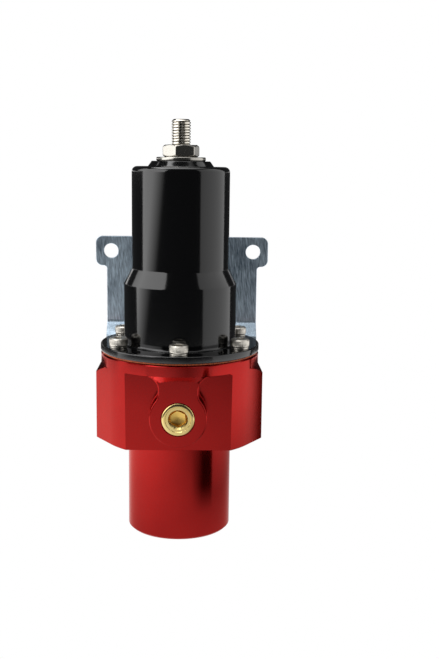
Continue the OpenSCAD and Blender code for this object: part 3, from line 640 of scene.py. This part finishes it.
def glowing(name):
    """A material that only gives light: its nodes, its strength socket, and what its pattern starts from."""
    material = bpy.data.materials.new(name)
    material.use_nodes = True
    tree = material.node_tree
    tree.nodes.clear()
    place = add_node(tree, "ShaderNodeTexCoord", {}).outputs["Object"]
    across = add_node(tree, "ShaderNodeSeparateXYZ", {"Vector": place})
    glow = add_node(tree, "ShaderNodeEmission", {})
    add_node(tree, "ShaderNodeOutputMaterial", {"Surface": glow.outputs[0]})
    return material, tree, glow.inputs["Strength"], across.outputs


# Lit acrylic: white, dimmest a little to the right of the object, brighter to both sides, and a little
# dimmer towards the camera.
acrylic, tree, strength, across = glowing("lit acrylic sheet")
away = add_node(tree, "ShaderNodeMath", {0: across["X"], 1: dim_x}, operation="SUBTRACT")
distance = add_node(tree, "ShaderNodeMath", {0: away.outputs[0]}, operation="ABSOLUTE")
sides = add_node(tree, "ShaderNodeMapRange", {"Value": distance.outputs[0], "From Max": bright_away,
                                              "To Min": table_glow[0], "To Max": table_glow[1]})
fade = add_node(tree, "ShaderNodeMapRange", {"Value": across["Y"], "From Min": far_y[0],
                                             "From Max": far_y[1], "To Min": far_glow, "To Max": 1})
add_node(tree, "ShaderNodeMath", {0: sides.outputs[0], 1: fade.outputs[0]}, operation="MULTIPLY",
         into=strength)
table_mesh.materials.append(acrylic)
table.visible_camera = False


# Soft lights: a tall cloth panel at each side, a square one overhead, and a wing behind the left panel.
# Each is lit unevenly: the left one dies away to its sloping foot, the top one to the right.
# A low strip behind each side panel lights the outer faces of the jam nut.
panel_distance = 0.55
panel_top = 0.75
left_back, left_front = -97, -36
left_foot = (-0.123, 0.112)
wing_back = -120
wing_z = (0.22, 0.6)
right_back, right_front = 122, 47
right_foot = -0.08
strip_back = 168
strip_z = (0.126, 0.155)


def soft_panel(name, corners, near, far, reach, axis):
    """A cloth panel between four corners; its light goes from near to far, within reach along axis X or Y."""
    corners = [Vector(corner) for corner in corners]
    along = (corners[1] - corners[0]).normalized()
    out = along.cross(corners[3] - corners[0]).normalized()
    stand = Matrix.Translation(corners[0]) @ Matrix((along, out.cross(along), out)).transposed().to_4x4()
    mesh = bpy.data.meshes.new(name)
    mesh.from_pydata([stand.inverted() @ corner for corner in corners], [], [range(4)])
    panel = bpy.data.objects.new(name, mesh)
    bpy.context.scene.collection.objects.link(panel)
    panel.matrix_world = stand
    material, tree, strength, across = glowing(name + " cloth")
    add_node(tree, "ShaderNodeMapRange", {"Value": across[axis], "From Max": reach, "To Min": near,
                                          "To Max": far}, into=strength)
    mesh.materials.append(material)
    panel.visible_camera = False


def toward(azimuth, z):
    """A point at the panels' distance, at that angle from the front and that height."""
    angle = math.radians(azimuth)
    return (panel_distance * math.sin(angle), -panel_distance * math.cos(angle), z)


soft_panel("left_soft_light", (toward(left_back, left_foot[0]), toward(left_front, left_foot[1]),
                               toward(left_front, panel_top), toward(left_back, panel_top)),
           0, 2.3, 0.11, "Y")
soft_panel("left_wing", (toward(wing_back, wing_z[0]), toward(left_back, wing_z[0]),
                         toward(left_back, wing_z[1]), toward(wing_back, wing_z[1])),
           1.2, 2.3, 0.2, "X")
soft_panel("right_soft_light", (toward(right_back, right_foot), toward(right_front, right_foot),
                                toward(right_front, panel_top), toward(right_back, panel_top)),
           1.25, 0.7, 0.67, "X")
for name, back, front, glow in (("left_nut_fill", -strip_back, left_back, 1.2),
                                ("right_nut_fill", strip_back, right_back, 0.55)):
    soft_panel(name, (toward(back, strip_z[0]), toward(front, strip_z[0]),
                      toward(front, strip_z[1]), toward(back, strip_z[1])), glow, glow, 0.1, "X")
top_z = 0.8
top_half = 0.4
top_front = -0.17
soft_panel("top_soft_light", ((-top_half, top_front, top_z), (top_half, top_front, top_z),
                              (top_half, top_half, top_z), (-top_half, top_half, top_z)),
           4.5, 0, 2 * top_half, "X")


# Black cards: one stands at the right in front of the neck, and shows there as the dark upright stripe.
# The other is painted shade: a dark sheet seen only in reflections, standing for the object's shadow behind
# its right side, and mirrored dark in the last facet at the right. Both are gauze at one side and at the
# foot, to end softly.


def black_card(name, soft_side, far_side, low, high, gauze):
    """A card between two points of the floor plan and two heights; gauze is how far its soft edges reach."""
    corners = [Vector((*side, z)) * MM for side, z in (
        (soft_side, low), (far_side, low), (far_side, high), (soft_side, high))]
    mesh = bpy.data.meshes.new(name)
    mesh.from_pydata(corners, [], [range(4)])
    card = bpy.data.objects.new(name, mesh)
    bpy.context.scene.collection.objects.link(card)
    material, tree, shader, place = new_material(name + " cloth", {
        "Base Color": linear("#2A2A2A"), "Roughness": 0.9})
    inside = add_node(tree, "ShaderNodeSeparateXYZ", {"Vector": place})
    up = add_node(tree, "ShaderNodeMapRange", {
        "Value": inside.outputs["Z"], "From Min": low * MM, "From Max": (low + gauze) * MM})
    across = add_node(tree, "ShaderNodeMapRange", {
        "Value": inside.outputs["X"], "From Min": soft_side[0] * MM, "From Max": (soft_side[0] + gauze) * MM})
    add_node(tree, "ShaderNodeMath", {0: up.outputs[0], 1: across.outputs[0]}, operation="MULTIPLY",
             into=shader.inputs["Alpha"])
    mesh.materials.append(material)
    card.visible_camera = False
    card.visible_diffuse = False
    card.visible_shadow = False


black_card("neck_card", (17, -42), (36, -18), 0, 26, gauze=10)
# Painted shade: this card darkens the last facet at the right in place of a shadow.
black_card("painted_shadow_card", (45.8, -1.5), (54, 13), 18, 58, gauze=3)


# Studio: white behind the object, and a dim room for it to mirror.
# Nothing of it is seen but the white.
room_glow = 0.04
world = bpy.data.worlds.new("studio")
world.use_nodes = True
bpy.context.scene.world = world
tree = world.node_tree
tree.nodes.clear()
white_back = add_node(tree, "ShaderNodeBackground", {"Color": linear("#FFFFFF"), "Strength": 1})
dim_room = add_node(tree, "ShaderNodeBackground", {"Color": linear("#F2F6FA"), "Strength": room_glow})
seen = add_node(tree, "ShaderNodeLightPath", {})
both = add_node(tree, "ShaderNodeMixShader", {
    0: seen.outputs["Is Camera Ray"], 1: dim_room.outputs[0], 2: white_back.outputs[0]})
add_node(tree, "ShaderNodeOutputWorld", {"Surface": both.outputs[0]})
bpy.context.scene.view_settings.view_transform = "Standard"


# Camera: a short telephoto about a foot away, just above the bonnet.
# It looks ten degrees down and is held not quite level.
view_from = Vector((6, -320.8, 126.6)) * MM
look_down = math.radians(10.08)
look_right = math.radians(1.36)
hand_roll = math.radians(0.76)
camera_data = bpy.data.cameras.new("camera")
camera_data.lens = 51.5
camera_data.sensor_width = 36
camera = bpy.data.objects.new("camera", camera_data)
bpy.context.scene.collection.objects.link(camera)
camera.matrix_world = (Matrix.Translation(view_from) @ Matrix.Rotation(-look_right, 4, "Z")
                       @ Matrix.Rotation(math.pi / 2 - look_down, 4, "X")
                       @ Matrix.Rotation(hand_roll, 4, "Z"))
bpy.context.scene.camera = camera
